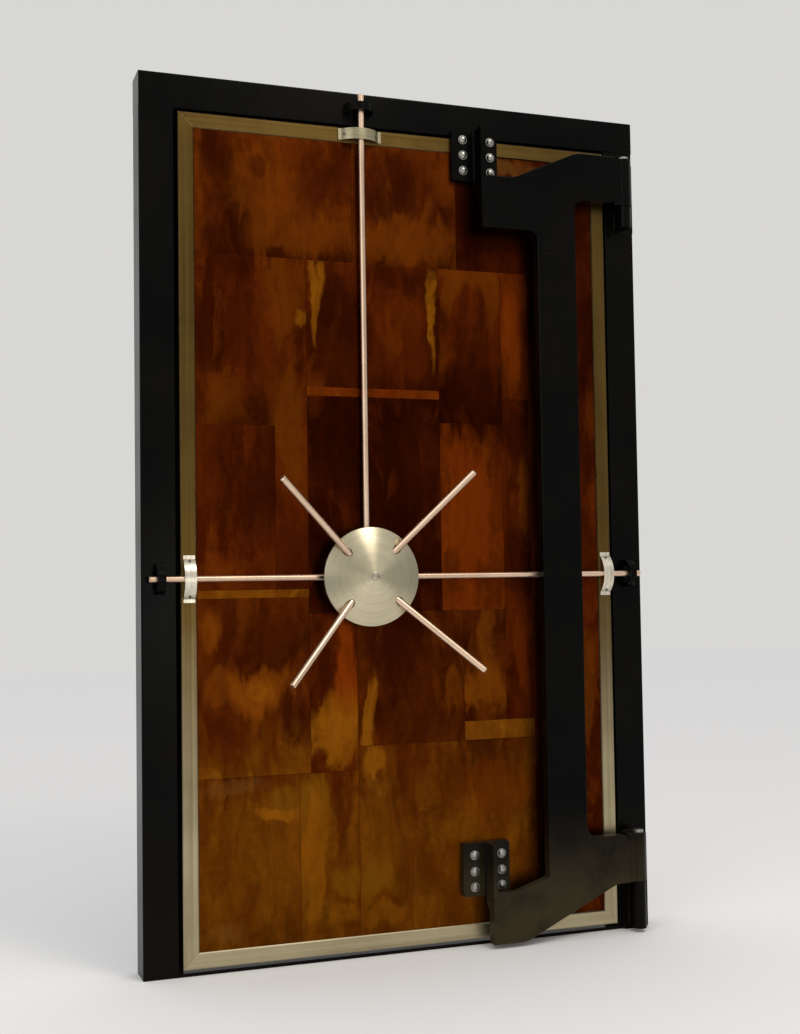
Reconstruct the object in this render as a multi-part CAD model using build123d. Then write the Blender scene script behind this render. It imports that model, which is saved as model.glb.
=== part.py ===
from build123d import *
import os
from math import atan2, cos, degrees, radians, sqrt

# A tall vault door: a steel frame, a leaf hung on a crane hinge, and a spoked hub that draws three rods.
# The wall side is +Y, the room side is -Y, and the origin is under the middle of the threshold.
# A place in front of the frame's face is called "out" and is counted from that face towards the room.

# Frame
frame_width = 1608.0
frame_height = 2600.0
member = 102.0
frame_depth = 102.0
member_radius = 4.0
threshold_height = 10.0
stop_width = 22.0
stop_gap = 8.0
stop_thickness = 12.0

# Leaf
side_gap = 10.5
head_gap = 10.0
foot_gap = 10.0
border_proud = 10.0
border_width = 46.0
border_thickness = 12.0
border_bevel = 3.0
core_set_back = 3.5
cladding_proud = 6.0
leaf_thickness = 50.0
back_panel_thickness = 3.0

# Hub: dome, spokes, spindle and draw plate
hub_x = -137.0
hub_z = 1126.0
dome_radius = 147.0
dome_height = 34.0
dome_wall = 4.0
dome_rim_out = 76.0
dome_rim_bevel = 1.2
spoke_radius = 10.5
spoke_reach = 414.5
spoke_tip_out = 201.0
spoke_tip_bevel = 3.0
spoke_leave = 112.0
spoke_turn = 2.3
spoke_hole_gap = 2.0
hub_block_side = 60.0
hub_block_bevel = 9.0
hub_block_drop = 9.0
spindle_radius = 14.0
spindle_fit = 0.05
spindle_end_gap = 0.3
boss_flat = 22.0
boss_length = 22.0
cam_flat = 88.0
cam_thickness = 6.0
cam_gap = 6.5

# Locking rods and the ring that steadies their inner ends
rod_radius = 9.5
rod_out = 28.0
rod_side_inset = 18.0
rod_top_inset = 12.0
rod_inner = 104.0
rod_chamfer = 3.0
rod_fit = 0.05
ring_flat = 122.0
ring_wall = 12.0
ring_cover = 6.5
hub_sides = 8

# Guides and keepers that the rods pass through
guide_length = 136.0
guide_width = 34.0
guide_bow = 122.0
guide_wall = 5.0
guide_foot = 4.0
keeper_length = 94.0
keeper_width = 24.0
keeper_bow = 86.0
keeper_wall = 6.0
keeper_rise_gap = 7.0
keeper_side_gap = 15.0
keeper_foot = 5.0
keeper_inset = 50.0

# Crane hinge, stepped off from its axis
axis_inset = 59.0
axis_out = 52.0
crane_out = 80.0
crane_thickness = 36.0
crane_ease = 2.0
arm_end_inset = 45.0
column_inset = 191.0
column_width = 132.0
arm_reach = 173.0
lobe_length = 95.0
bottom_lobe_low = 14.0
bottom_lobe_height = 151.0
bottom_block_low = 160.0
block_height = 150.0
bottom_neck_run = 311.0
shoulder_run = 104.0
shoulder_rise = 34.0
joint_rise = 70.0
top_lobe_drop = 401.0
top_lobe_height = 162.0
top_block_drop = 292.0
top_neck_run = 220.0
neck_radius = 90.0
inner_bend_radius = 34.0
lobe_bend_radius = 30.0
shoulder_radius = 20.0
shoulder_corner_radius = 8.0
end_corner_radius = 26.0

# Knuckles, pins and posts
knuckle_radius = 23.0
lug_thickness = 22.0
post_radius = 21.0
pin_radius = 11.0
pin_fit = 0.05
pin_depth = 60.0
pin_head_radius = 17.0
pin_head_height = 9.0
pin_head_bevel = 3.0
pin_head_gap = 0.5
knuckle_gap = 4.0
seat_gap = 0.3
seat_radius = 17.0
web_width = 26.0
post_foot_gap = 12.0
plate_thickness = 10.0
plate_margin = 6.0
plate_corner = 8.0
bottom_plate_high = 305.0
top_plate_low_drop = 375.0
top_plate_high_drop = 136.0

# Brackets that carry the leaf
flange_offset = 12.0
flange_width = 152.0
flange_height = 160.0
flange_thickness = 14.0
flange_corner = 5.0
bottom_flange_z = 232.0
top_flange_drop = 167.0
rib_thickness = 14.0
gusset_drop = 40.0
gusset_taper = 0.9

# Extra length of a cutting bar past the face that it cuts
cut_over = 6.0

# Places that follow from the sizes above
front = -frame_depth / 2
jamb_height = frame_height - member
opening_half = frame_width / 2 - member
leaf_half = opening_half - side_gap
leaf_low = threshold_height + foot_gap
leaf_high = jamb_height - head_gap
leaf_front = front - border_proud
leaf_back = leaf_front + leaf_thickness
core_front = leaf_front + border_thickness
core_back = leaf_back - back_panel_thickness
axis_x = frame_width / 2 - axis_inset
axis_y = front - axis_out
arm_end = axis_x - arm_end_inset
column_right = axis_x - column_inset
column_left = column_right - column_width
arm_left = column_left - arm_reach
lobe_end = arm_left + lobe_length
flange_x = arm_left - flange_offset
crane_front = front - crane_out
crane_back = crane_front + crane_thickness
rod_y = front - rod_out
rod_side_tip = frame_width / 2 - rod_side_inset
rod_top_tip = frame_height - rod_top_inset

os.makedirs("parts", exist_ok=True)


def block(x0, x1, y0, y1, z0, z1):
    size = Box(x1 - x0, y1 - y0, z1 - z0)
    return Pos((x0 + x1) / 2, (y0 + y1) / 2, (z0 + z1) / 2) * size


def round_bar(radius, x, y, z0, z1):
    return Pos(x, y, (z0 + z1) / 2) * Cylinder(radius, z1 - z0)


def front_plate(face, out0, out1):
    plate = extrude(face, out1 - out0, dir=(0, -1, 0))
    return Pos(0, front - out0, 0) * plate


# Frame members: square steel sections with rounded long edges


def section_bar(x0, x1, z0, z1, long_axis):
    bar = block(x0, x1, front, -front, z0, z1)
    return fillet(bar.edges().filter_by(long_axis), member_radius)


jamb_left = section_bar(-frame_width / 2, -opening_half, 0, jamb_height, Axis.Z)
jamb_right = mirror(jamb_left, Plane.YZ)
header = section_bar(-frame_width / 2, frame_width / 2, jamb_height, frame_height, Axis.X)
threshold = block(-opening_half, opening_half, front, -front, 0, threshold_height)
stop_front = leaf_back + stop_gap
stop_back = stop_front + stop_thickness
stop_inner = opening_half - stop_width
stop_left = block(-opening_half, -stop_inner, stop_front, stop_back, threshold_height, jamb_height)
stop_right = mirror(stop_left, Plane.YZ)
stop_head = block(-stop_inner, stop_inner, stop_front, stop_back, jamb_height - stop_width, jamb_height)

# Leaf body
core_half = leaf_half - core_set_back
core_low = leaf_low + core_set_back
core_high = leaf_high - core_set_back
clad_half = leaf_half - border_width
clad_low = leaf_low + border_width
clad_high = leaf_high - border_width
leaf_core = block(-core_half, core_half, core_front, core_back, core_low, core_high)
back_panel = block(-core_half, core_half, core_back, leaf_back, core_low, core_high)
cladding = block(-clad_half, clad_half, front - cladding_proud, core_front, clad_low, clad_high)

# Mitred border bars with bevelled front edges


def border_bar(outline, long_axis):
    bar = front_plate(make_face(Plane.XZ * outline), border_proud - border_thickness, border_proud)
    face = bar.faces().sort_by(Axis.Y)[0]
    return chamfer(face.edges().filter_by(long_axis), border_bevel)


bottom_outline = Polyline(
    (-leaf_half, leaf_low),
    (leaf_half, leaf_low),
    (clad_half, clad_low),
    (-clad_half, clad_low),
    close=True,
)
top_outline = Polyline(
    (-leaf_half, leaf_high),
    (leaf_half, leaf_high),
    (clad_half, clad_high),
    (-clad_half, clad_high),
    close=True,
)
side_outline = Polyline(
    (-leaf_half, leaf_low),
    (-leaf_half, leaf_high),
    (-clad_half, clad_high),
    (-clad_half, clad_low),
    close=True,
)
border_bottom = border_bar(bottom_outline, Axis.X)
border_top = border_bar(top_outline, Axis.X)
border_left = border_bar(side_outline, Axis.Z)
border_right = mirror(border_left, Plane.YZ)

# Hub: a shallow spun dome. Its own Z runs out towards the room.
# Each ball lies on its side, so that its poles stay away from the crown
hub = Pos(hub_x, front, hub_z) * Rot(90, 0, 0)
dome_top_out = dome_rim_out + dome_height
ball_radius = (dome_radius**2 + dome_height**2) / (2 * dome_height)
ball_out = dome_top_out - ball_radius
inner_radius = ball_radius - dome_wall
ball_place = Pos(0, 0, ball_out) * Rot(0, 90, 0)
dome_ball = ball_place * Sphere(ball_radius)
inner_ball = ball_place * Sphere(inner_radius)
dome_blank = round_bar(dome_radius, 0, 0, dome_rim_out - dome_wall, dome_top_out)
dome_shell = (dome_ball & dome_blank) - inner_ball
rim_edge = dome_shell.edges().filter_by(lambda edge: edge.is_closed).sort_by(Axis.Z)[-1]


def dome_height_at(ball, radius):
    return ball_out + sqrt(ball**2 - radius**2)


def flat_sided(flat, out0, out1):
    outline = RegularPolygon(flat, hub_sides, major_radius=False, rotation=180 / hub_sides)
    return extrude(Pos(0, 0, out0) * outline, out1 - out0)


# Draw plate, hub block and spindle inside the dome, and the boss that the spindle turns in
cam_low = rod_out + rod_radius + cam_gap
hub_block_low = cam_low + cam_thickness
hub_block_high = dome_top_out - dome_wall - hub_block_drop
hub_block_length = hub_block_high - hub_block_low
spindle_low = cladding_proud
spindle_high = dome_height_at(inner_radius, spindle_radius) - spindle_end_gap
spindle_bar = round_bar(spindle_radius, 0, 0, spindle_low, spindle_high)
square_bar = Box(hub_block_side, hub_block_side, hub_block_length)
square_bar = chamfer(square_bar.edges().filter_by(Axis.Z), hub_block_bevel)
square_bar = Rot(0, 0, 45 + spoke_turn) * Pos(0, 0, (hub_block_low + hub_block_high) / 2) * square_bar
cam_blank = flat_sided(cam_flat, cam_low, hub_block_low)
boss_high = cladding_proud + boss_length
boss_blank = flat_sided(boss_flat, cladding_proud, boss_high)
boss_bore = round_bar(spindle_radius + spindle_fit, 0, 0, cladding_proud, boss_high)
hub_block = hub * (square_bar - spindle_bar)
spindle = hub * spindle_bar
cam_plate = hub * (cam_blank - spindle_bar)
hub_boss = hub * (boss_blank - boss_bore)

# Four spokes that rise from the hub block, leave through holes in the dome and lean out to the room
leave_out = dome_height_at(ball_radius, spoke_leave)
spoke_slope = degrees(atan2(spoke_tip_out - leave_out, spoke_reach - spoke_leave))
spoke_start_out = leave_out - spoke_leave * (spoke_tip_out - leave_out) / (spoke_reach - spoke_leave)
spoke_length = spoke_reach / cos(radians(spoke_slope))
spoke_angles = {
    "spoke_ne": 45 + spoke_turn,
    "spoke_nw": 135 + spoke_turn,
    "spoke_sw": 225 + spoke_turn,
    "spoke_se": 315 + spoke_turn,
}


def spoke_bar(radius, angle):
    bar = Pos(0, 0, spoke_length / 2) * Cylinder(radius, spoke_length)
    return Rot(0, 0, angle) * Pos(0, 0, spoke_start_out) * Rot(0, 90 - spoke_slope, 0) * bar


spokes = {}
for name, angle in spoke_angles.items():
    seat = Rot(0, 0, angle) * Box(hub_block_side, hub_block_side, dome_top_out * 2)
    bar = spoke_bar(spoke_radius, angle) - seat
    tip_edge = bar.edges().filter_by(GeomType.CIRCLE).sort_by(Axis.Z)[-1]
    spokes[name] = hub * chamfer(tip_edge, spoke_tip_bevel)
spoke_holes = [spoke_bar(spoke_radius + spoke_hole_gap, angle) for angle in spoke_angles.values()]
dome = hub * (chamfer(rim_edge, dome_rim_bevel) - spoke_holes)

# Locking rods


def locking_rod(start, tip):
    bar = round_bar(rod_radius, 0, 0, start, tip)
    tip_edge = bar.edges().filter_by(GeomType.CIRCLE).sort_by(Axis.Z)[-1]
    return chamfer(tip_edge, rod_chamfer)


rod_left = Pos(0, rod_y, hub_z) * Rot(0, -90, 0) * locking_rod(rod_inner - hub_x, rod_side_tip)
rod_right = Pos(0, rod_y, hub_z) * Rot(0, 90, 0) * locking_rod(rod_inner + hub_x, rod_side_tip)
rod_top = Pos(hub_x, rod_y, 0) * locking_rod(hub_z + rod_inner, rod_top_tip)

# Eight-sided bearing ring under the dome that steadies the rods' inner ends in its flat sides
ring_high = rod_out + rod_radius + ring_cover
ring_opening = flat_sided(ring_flat - ring_wall, cladding_proud, ring_high)
ring_blank = flat_sided(ring_flat, cladding_proud, ring_high) - ring_opening
eye_middle = ring_flat - ring_wall / 2
eye_bar = Cylinder(rod_radius + rod_fit, ring_wall + 2 * cut_over)
eye_left = Pos(-eye_middle, 0, rod_out) * Rot(0, 90, 0) * eye_bar
eye_right = Pos(eye_middle, 0, rod_out) * Rot(0, 90, 0) * eye_bar
eye_top = Pos(0, eye_middle, rod_out) * Rot(90, 0, 0) * eye_bar
bearing_ring = hub * (ring_blank - eye_left - eye_right - eye_top)

# Bowed guides on the leaf's border and bowed keepers on the frame. Each is drawn along X, standing up in Z


def bow_face(half_width, rise):
    bow = ThreePointArc((-half_width, 0), (0, rise), (half_width, 0))
    return make_face(bow + Line((half_width, 0), (-half_width, 0)))


def rod_guide():
    rise = rod_out - border_proud + rod_radius + guide_wall
    foot = Pos(0, guide_foot / 2) * Rectangle(guide_length, guide_foot)
    eye = Pos(0, rod_out - border_proud) * Circle(rod_radius + rod_fit)
    return extrude(Plane.XZ * (foot + bow_face(guide_bow / 2, rise) - eye), guide_width / 2, both=True)


def rod_keeper():
    rise = rod_out + rod_radius + keeper_rise_gap
    outside = bow_face(keeper_bow / 2, rise + keeper_wall)
    inside = bow_face(rod_radius + keeper_side_gap, rise)
    foot = Pos(0, keeper_foot / 2) * Rectangle(keeper_length, keeper_foot)
    return extrude(Plane.XZ * (foot + outside - inside), keeper_width / 2, both=True)


upright = Rot(90, 0, 0)
sideways = Rot(0, 90, 0) * Rot(90, 0, 0)
guide_x = leaf_half - border_width / 2
guide_z = leaf_high - border_width / 2
keeper_x = opening_half + keeper_inset
keeper_z = jamb_height + member / 2
guide = rod_guide()
keeper = rod_keeper()
guide_right = Pos(guide_x, leaf_front, hub_z) * sideways * guide
guide_left = Pos(-guide_x, leaf_front, hub_z) * sideways * guide
guide_top = Pos(hub_x, leaf_front, guide_z) * upright * guide
keeper_right = Pos(keeper_x, front, hub_z) * sideways * keeper
keeper_left = Pos(-keeper_x, front, hub_z) * sideways * keeper
keeper_top = Pos(hub_x, front, keeper_z) * upright * keeper

# Brackets: a bolted flange, and a deep rib whose lower end reaches out to the crane's arm


def bracket(flange_z, rib_low):
    high_z = flange_z + flange_height / 2
    low_z = flange_z - flange_height / 2
    left_x = flange_x - flange_width / 2
    right_x = flange_x + flange_width / 2
    rib_left = arm_left - rib_thickness
    flange_out = border_proud + flange_thickness
    flange = block(left_x, right_x, front - flange_out, front - border_proud, low_z, high_z)
    flange = chamfer(flange.edges().filter_by(Axis.Y), flange_corner)
    packing_high = min(high_z, clad_high)
    packing = block(left_x, right_x, front - border_proud, front - cladding_proud, low_z, packing_high)
    packing = chamfer(packing.edges().filter_by(Axis.Y).group_by(Axis.Z)[0], flange_corner)
    rib = block(rib_left, arm_left, crane_front, front - flange_out, low_z, high_z)
    end = block(rib_left, arm_left, crane_front, crane_back, rib_low, low_z)
    gusset = block(rib_left, arm_left, crane_back, front - flange_out, low_z - gusset_drop, low_z)
    gusset_corner = gusset.edges().filter_by(Axis.X).group_by(Axis.Z)[0].sort_by(Axis.Y)[-1]
    reach = front - flange_out - crane_back
    gusset = chamfer(gusset_corner, gusset_taper * min(reach, gusset_drop))
    return flange + packing + rib + end + gusset


top_flange_z = frame_height - top_flange_drop
top_lobe_low = frame_height - top_lobe_drop
top_block_low = frame_height - top_block_drop
bracket_bottom = bracket(bottom_flange_z, bottom_lobe_low)
bracket_top = bracket(top_flange_z, top_lobe_low)

# Crane: two swan-neck arms, a column between them and a knuckle at each post
bottom_lobe_high = bottom_lobe_low + bottom_lobe_height
bottom_block_high = bottom_block_low + block_height
bottom_neck_end = lobe_end + bottom_neck_run
shoulder_high = bottom_lobe_high + shoulder_rise
shoulder_start = column_left - shoulder_run
top_lobe_high = top_lobe_low + top_lobe_height
top_block_high = top_block_low + block_height
top_neck_end = lobe_end + top_neck_run
bottom_joint = bottom_block_high + joint_rise
top_joint = top_lobe_low - joint_rise
bottom_arm_line = Polyline(
    (arm_left, bottom_lobe_low),
    (lobe_end, bottom_lobe_low),
    (bottom_neck_end, bottom_block_low),
    (arm_end, bottom_block_low),
    (arm_end, bottom_block_high),
    (column_right, bottom_block_high),
    (column_right, bottom_joint),
    (column_left, bottom_joint),
    (column_left, shoulder_high),
    (shoulder_start, bottom_lobe_high),
    (arm_left, bottom_lobe_high),
    close=True,
)
top_arm_line = Polyline(
    (arm_left, top_lobe_low),
    (column_left, top_lobe_low),
    (column_left, top_joint),
    (column_right, top_joint),
    (column_right, top_block_low),
    (arm_end, top_block_low),
    (arm_end, top_block_high),
    (top_neck_end, top_block_high),
    (lobe_end, top_lobe_high),
    (arm_left, top_lobe_high),
    close=True,
)
bottom_bends = (
    (lobe_end, bottom_lobe_low, neck_radius),
    (bottom_neck_end, bottom_block_low, neck_radius),
    (arm_end, bottom_block_high, end_corner_radius),
    (column_right, bottom_block_high, inner_bend_radius),
    (column_left, shoulder_high, shoulder_corner_radius),
    (shoulder_start, bottom_lobe_high, shoulder_radius),
)
top_bends = (
    (column_left, top_lobe_low, lobe_bend_radius),
    (column_right, top_block_low, inner_bend_radius),
    (arm_end, top_block_low, end_corner_radius),
    (top_neck_end, top_block_high, neck_radius),
    (lobe_end, top_lobe_high, neck_radius),
)


def crane_arm(outline, bends, joint_z):
    face = make_face(Plane.XZ * outline)
    for x, z, radius in bends:
        corner = face.vertices().sort_by_distance((x, 0, z))[0]
        face = fillet(corner, radius)
    plate = Pos(0, crane_back, 0) * extrude(face, crane_thickness, dir=(0, -1, 0))
    sides = plate.faces().sort_by(Axis.Y)
    free = []
    for rim in sides[0].edges() + sides[-1].edges():
        middle = rim @ 0.5
        clear_of_ends = arm_left + crane_ease < middle.X < arm_end - crane_ease
        if clear_of_ends and abs(middle.Z - joint_z) > crane_ease:
            free.append(rim)
    return chamfer(free, crane_ease)


arm_bottom = crane_arm(bottom_arm_line, bottom_bends, bottom_joint)
arm_top = crane_arm(top_arm_line, top_bends, top_joint)
column_bar = block(column_left, column_right, crane_front, crane_back, bottom_joint, top_joint)
column = chamfer(column_bar.edges().filter_by(Axis.Z), crane_ease)


def crane_knuckle(low_z, high_z):
    barrel = round_bar(knuckle_radius, axis_x, axis_y, low_z, high_z)
    lug = block(arm_end, axis_x, crane_back - lug_thickness, crane_back, low_z, high_z)
    bore = round_bar(pin_radius + pin_fit, axis_x, axis_y, low_z, high_z)
    return barrel + lug - bore


knuckle_bottom = crane_knuckle(bottom_block_low, bottom_block_high)
knuckle_top = crane_knuckle(top_block_low, top_block_high)

# Plates and posts on the jamb that the crane turns on, and the pins through the knuckles
plate_front = front - plate_thickness
plate_left = opening_half + plate_margin
plate_right = frame_width / 2 - plate_margin
top_plate_low = frame_height - top_plate_low_drop
top_plate_high = frame_height - top_plate_high_drop


def hinge_plate(low_z, high_z):
    plate = block(plate_left, plate_right, plate_front, front, low_z, high_z)
    return chamfer(plate.edges().filter_by(Axis.Y), plate_corner)


def hinge_post(low_z, high_z):
    web = block(axis_x - web_width / 2, axis_x + web_width / 2, axis_y, plate_front, low_z, high_z)
    barrel = round_bar(post_radius, axis_x, axis_y, low_z, high_z)
    seat = round_bar(seat_radius, axis_x, axis_y, high_z, high_z + knuckle_gap - seat_gap)
    socket = round_bar(pin_radius, axis_x, axis_y, high_z - pin_depth, high_z + knuckle_gap)
    return web + barrel + seat - socket


def hinge_pin(post_high, knuckle_high):
    head_low = knuckle_high + pin_head_gap
    shank = round_bar(pin_radius, axis_x, axis_y, post_high - pin_depth, head_low)
    head = round_bar(pin_head_radius, axis_x, axis_y, head_low, head_low + pin_head_height)
    top_edge = head.edges().filter_by(GeomType.CIRCLE).sort_by(Axis.Z)[-1]
    return shank + chamfer(top_edge, pin_head_bevel)


hinge_plate_bottom = hinge_plate(0, bottom_plate_high)
hinge_plate_top = hinge_plate(top_plate_low, top_plate_high)
bottom_post_high = bottom_block_low - knuckle_gap
top_post_high = top_block_low - knuckle_gap
hinge_post_bottom = hinge_post(post_foot_gap, bottom_post_high)
hinge_post_top = hinge_post(top_plate_low + post_foot_gap, top_post_high)
hinge_pin_bottom = hinge_pin(bottom_post_high, bottom_block_high)
hinge_pin_top = hinge_pin(top_post_high, top_block_high)

nodes = {
    "jamb_left": jamb_left,
    "jamb_right": jamb_right,
    "header": header,
    "threshold": threshold,
    "stop_left": stop_left,
    "stop_right": stop_right,
    "stop_head": stop_head,
    "keeper_left": keeper_left,
    "keeper_right": keeper_right,
    "keeper_top": keeper_top,
    "hinge_plate_bottom": hinge_plate_bottom,
    "hinge_plate_top": hinge_plate_top,
    "hinge_post_bottom": hinge_post_bottom,
    "hinge_post_top": hinge_post_top,
    "hinge_pin_bottom": hinge_pin_bottom,
    "hinge_pin_top": hinge_pin_top,
    "leaf_core": leaf_core,
    "back_panel": back_panel,
    "cladding": cladding,
    "border_left": border_left,
    "border_right": border_right,
    "border_top": border_top,
    "border_bottom": border_bottom,
    "guide_left": guide_left,
    "guide_right": guide_right,
    "guide_top": guide_top,
    "bracket_bottom": bracket_bottom,
    "bracket_top": bracket_top,
    "arm_bottom": arm_bottom,
    "arm_top": arm_top,
    "column": column,
    "knuckle_bottom": knuckle_bottom,
    "knuckle_top": knuckle_top,
    "hub_boss": hub_boss,
    "bearing_ring": bearing_ring,
    "dome": dome,
    "spindle": spindle,
    "hub_block": hub_block,
    "cam_plate": cam_plate,
    "rod_left": rod_left,
    "rod_right": rod_right,
    "rod_top": rod_top,
}
nodes.update(spokes)
for name, shape in nodes.items():
    export_step(shape, f"parts/{name}.step")
    print(name, round(shape.volume / 1000.0, 1), "cm3", len(shape.solids()), "solid")
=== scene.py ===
# %% [markdown]
# # A vault door with a copper-clad leaf
# The CAD part already has every big piece: the steel frame, the leaf, the crane hinge, the hub with its
# spokes, and the three locking rods. This script dresses it. It gives each piece a finish that is built
# from procedural nodes, lays the copper sheets, and adds the small things that come last: bolts, screws,
# weld beads and the cap on the dome. Everything is in metres and in the CAD part's frame.

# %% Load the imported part
import bpy, bmesh, math
from mathutils import Matrix, Vector


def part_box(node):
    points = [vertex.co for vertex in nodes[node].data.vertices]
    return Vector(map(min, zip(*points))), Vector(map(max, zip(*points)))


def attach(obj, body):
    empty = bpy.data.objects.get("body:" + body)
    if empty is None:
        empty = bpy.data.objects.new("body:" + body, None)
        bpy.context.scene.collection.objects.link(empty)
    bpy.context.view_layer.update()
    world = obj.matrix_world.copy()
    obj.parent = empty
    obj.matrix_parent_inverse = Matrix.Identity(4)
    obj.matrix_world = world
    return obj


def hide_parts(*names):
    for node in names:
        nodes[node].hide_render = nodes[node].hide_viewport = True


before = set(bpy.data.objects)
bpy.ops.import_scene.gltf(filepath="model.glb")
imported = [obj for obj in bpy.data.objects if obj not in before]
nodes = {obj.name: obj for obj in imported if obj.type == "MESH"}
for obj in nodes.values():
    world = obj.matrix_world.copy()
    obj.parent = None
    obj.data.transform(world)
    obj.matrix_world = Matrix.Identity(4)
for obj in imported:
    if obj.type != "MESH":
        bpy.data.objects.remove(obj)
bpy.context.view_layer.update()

# %% [markdown]
# The camera stands to the left of the door, at chest height, and looks slightly up. It is placed by
# three directions: forward, to its right, and down. Its own axes are right, up and backward, so these are
# turned into a matrix. The focal length in pixels gives the lens.

# %% Camera at the photograph's angle
PHOTO_HIGH = 1034
CAMERA_PLACE = Vector((-1.4336, -3.9764, 1.1112))
TURN, TILT, LEAN = 0.3458, 0.0467, 0.0146
FOCAL_PIXELS = 1374.4
SENSOR = 36.0


def camera_axes(turn, tilt, lean):
    forward = Vector((math.sin(turn) * math.cos(tilt), math.cos(turn) * math.cos(tilt), math.sin(tilt)))
    right = Vector((math.cos(turn), -math.sin(turn), 0))
    down = forward.cross(right)
    leaned_right = math.cos(lean) * right + math.sin(lean) * down
    leaned_down = math.cos(lean) * down - math.sin(lean) * right
    return leaned_right, -leaned_down, -forward


scene = bpy.context.scene
camera = bpy.data.objects.new("camera", bpy.data.cameras.new("camera"))
scene.collection.objects.link(camera)
camera.data.sensor_width = SENSOR
camera.data.lens = FOCAL_PIXELS / PHOTO_HIGH * SENSOR
turned = Matrix(camera_axes(TURN, TILT, LEAN)).transposed().to_4x4()
camera.matrix_world = Matrix.Translation(CAMERA_PLACE) @ turned
scene.camera = camera
print("lens", round(camera.data.lens, 2), "mm")

# %% [markdown]
# A shader is a graph of nodes. A few helpers keep that graph short to write. One adds a node, and two
# plug numbers or other nodes' results into its sockets, by place or by name. The rest each add a sum, on
# numbers or vectors, and give back its result.

# %% Node helpers
def link(tree, source, target):
    tree.links.new(source, target)


def add_node(tree, kind, **settings):
    node = tree.nodes.new(kind)
    for key, value in settings.items():
        setattr(node, key, value)
    return node


def plug(tree, socket, value):
    if hasattr(value, "is_output"):
        link(tree, value, socket)
    elif value is not None:
        socket.default_value = value


def wire(tree, sockets, **sources):
    for title, source in sources.items():
        plug(tree, sockets[title.replace("_", " ")], source)


def math_node(tree, operation, first, second=None, clamp=False):
    node = add_node(tree, "ShaderNodeMath", operation=operation, use_clamp=clamp)
    plug(tree, node.inputs[0], first)
    plug(tree, node.inputs[1], second)
    return node.outputs[0]


def plus(tree, first, second, clamp=False):
    return math_node(tree, "ADD", first, second, clamp)


def minus(tree, first, second):
    return math_node(tree, "SUBTRACT", first, second)


def times(tree, first, second, clamp=False):
    return math_node(tree, "MULTIPLY", first, second, clamp)


def weighed(tree, first, share, second, other_share):
    return plus(tree, times(tree, first, share), times(tree, second, other_share))


def swing(tree, value, amount):
    return times(tree, minus(tree, value, 0.5), amount)


def vector_node(tree, operation, first, second):
    node = add_node(tree, "ShaderNodeVectorMath", operation=operation)
    plug(tree, node.inputs[0], first)
    plug(tree, node.inputs["Scale" if operation == "SCALE" else 1], second)
    return node.outputs["Value" if operation in ("LENGTH", "DOT_PRODUCT") else "Vector"]


def stretched(tree, place, factors):
    return vector_node(tree, "MULTIPLY", place, factors)


def object_place(tree):
    return add_node(tree, "ShaderNodeTexCoord").outputs["Object"]


def split(tree, vector):
    node = add_node(tree, "ShaderNodeSeparateXYZ")
    link(tree, vector, node.inputs[0])
    return node.outputs


# %% [markdown]
# A studio needs a pale floor that takes the object's shadow, one soft lamp high on the right and a weaker
# one on the left. A third, small and low, lifts the foot of the door. The world gives an even light, and
# Light Path shows the lens and the polished metal a pale backdrop in its place.

# %% World
EVEN_LIGHT, EVEN_STRENGTH = (0.98, 0.98, 1.0, 1), 0.80
BACKDROP = (0.687, 0.680, 0.671, 1)
scene.view_settings.view_transform = "Standard"
world = bpy.data.worlds.new("studio")
scene.world = world
world.use_nodes = True
sky = world.node_tree
sky.nodes.clear()
paths = add_node(sky, "ShaderNodeLightPath")
seen = math_node(sky, "MAXIMUM", paths.outputs["Is Camera Ray"], paths.outputs["Is Glossy Ray"])
seen = math_node(sky, "MAXIMUM", seen, paths.outputs["Is Transmission Ray"])
soft_light = add_node(sky, "ShaderNodeBackground")
wire(sky, soft_light.inputs, Color=EVEN_LIGHT, Strength=EVEN_STRENGTH)
backdrop = add_node(sky, "ShaderNodeBackground")
wire(sky, backdrop.inputs, Color=BACKDROP)
pick = add_node(sky, "ShaderNodeMixShader")
sky_out = add_node(sky, "ShaderNodeOutputWorld")
for index, output in enumerate((seen, soft_light.outputs[0], backdrop.outputs[0])):
    link(sky, output, pick.inputs[index])
link(sky, pick.outputs[0], sky_out.inputs[0])
print("world ready")


# %% Lamps
def soft_lamp(name, place, aim, size, power, colour):
    lamp = bpy.data.objects.new(name, bpy.data.lights.new(name, "AREA"))
    scene.collection.objects.link(lamp)
    lamp.data.size = size
    lamp.data.energy = power
    lamp.data.color = colour
    lamp.location = place
    lamp.rotation_euler = (Vector(aim) - Vector(place)).to_track_quat("-Z", "Y").to_euler()


soft_lamp("key_lamp", (0.95, -2.9, 4.9), (-0.1, 0, 1.2), 1.3, 58, (1.0, 0.95, 0.87))
soft_lamp("fill_lamp", (-3.4, -3.0, 2.6), (0, 0, 1.2), 2.6, 28, (0.96, 0.98, 1.0))
soft_lamp("low_lamp", (0.1, -3.2, 0.95), (-0.15, 0, 1.05), 0.8, 4.0, (1.0, 0.96, 0.90))
print("lamps:", [lamp.name for lamp in bpy.data.lights])

# %% Floor
FLOOR_HALF, FLOOR_COLOUR = 14.0, (0.87, 0.86, 0.84, 1)
floor_mesh = bpy.data.meshes.new("floor")
floor_corners = [(x * FLOOR_HALF, y * FLOOR_HALF, 0) for x, y in ((-1, -1), (1, -1), (1, 1), (-1, 1))]
floor_mesh.from_pydata(floor_corners, [], [(0, 1, 2, 3)])
floor = bpy.data.objects.new("floor", floor_mesh)
scene.collection.objects.link(floor)
floor_paint = bpy.data.materials.new("pale_floor")
floor_paint.use_nodes = True
floor_sockets = floor_paint.node_tree.nodes["Principled BSDF"].inputs
wire(floor_paint.node_tree, floor_sockets, Base_Color=FLOOR_COLOUR, Roughness=0.85, Specular_IOR_Level=0.1)
floor.data.materials.append(floor_paint)
print("floor laid,", 2 * FLOOR_HALF, "m across")

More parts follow.
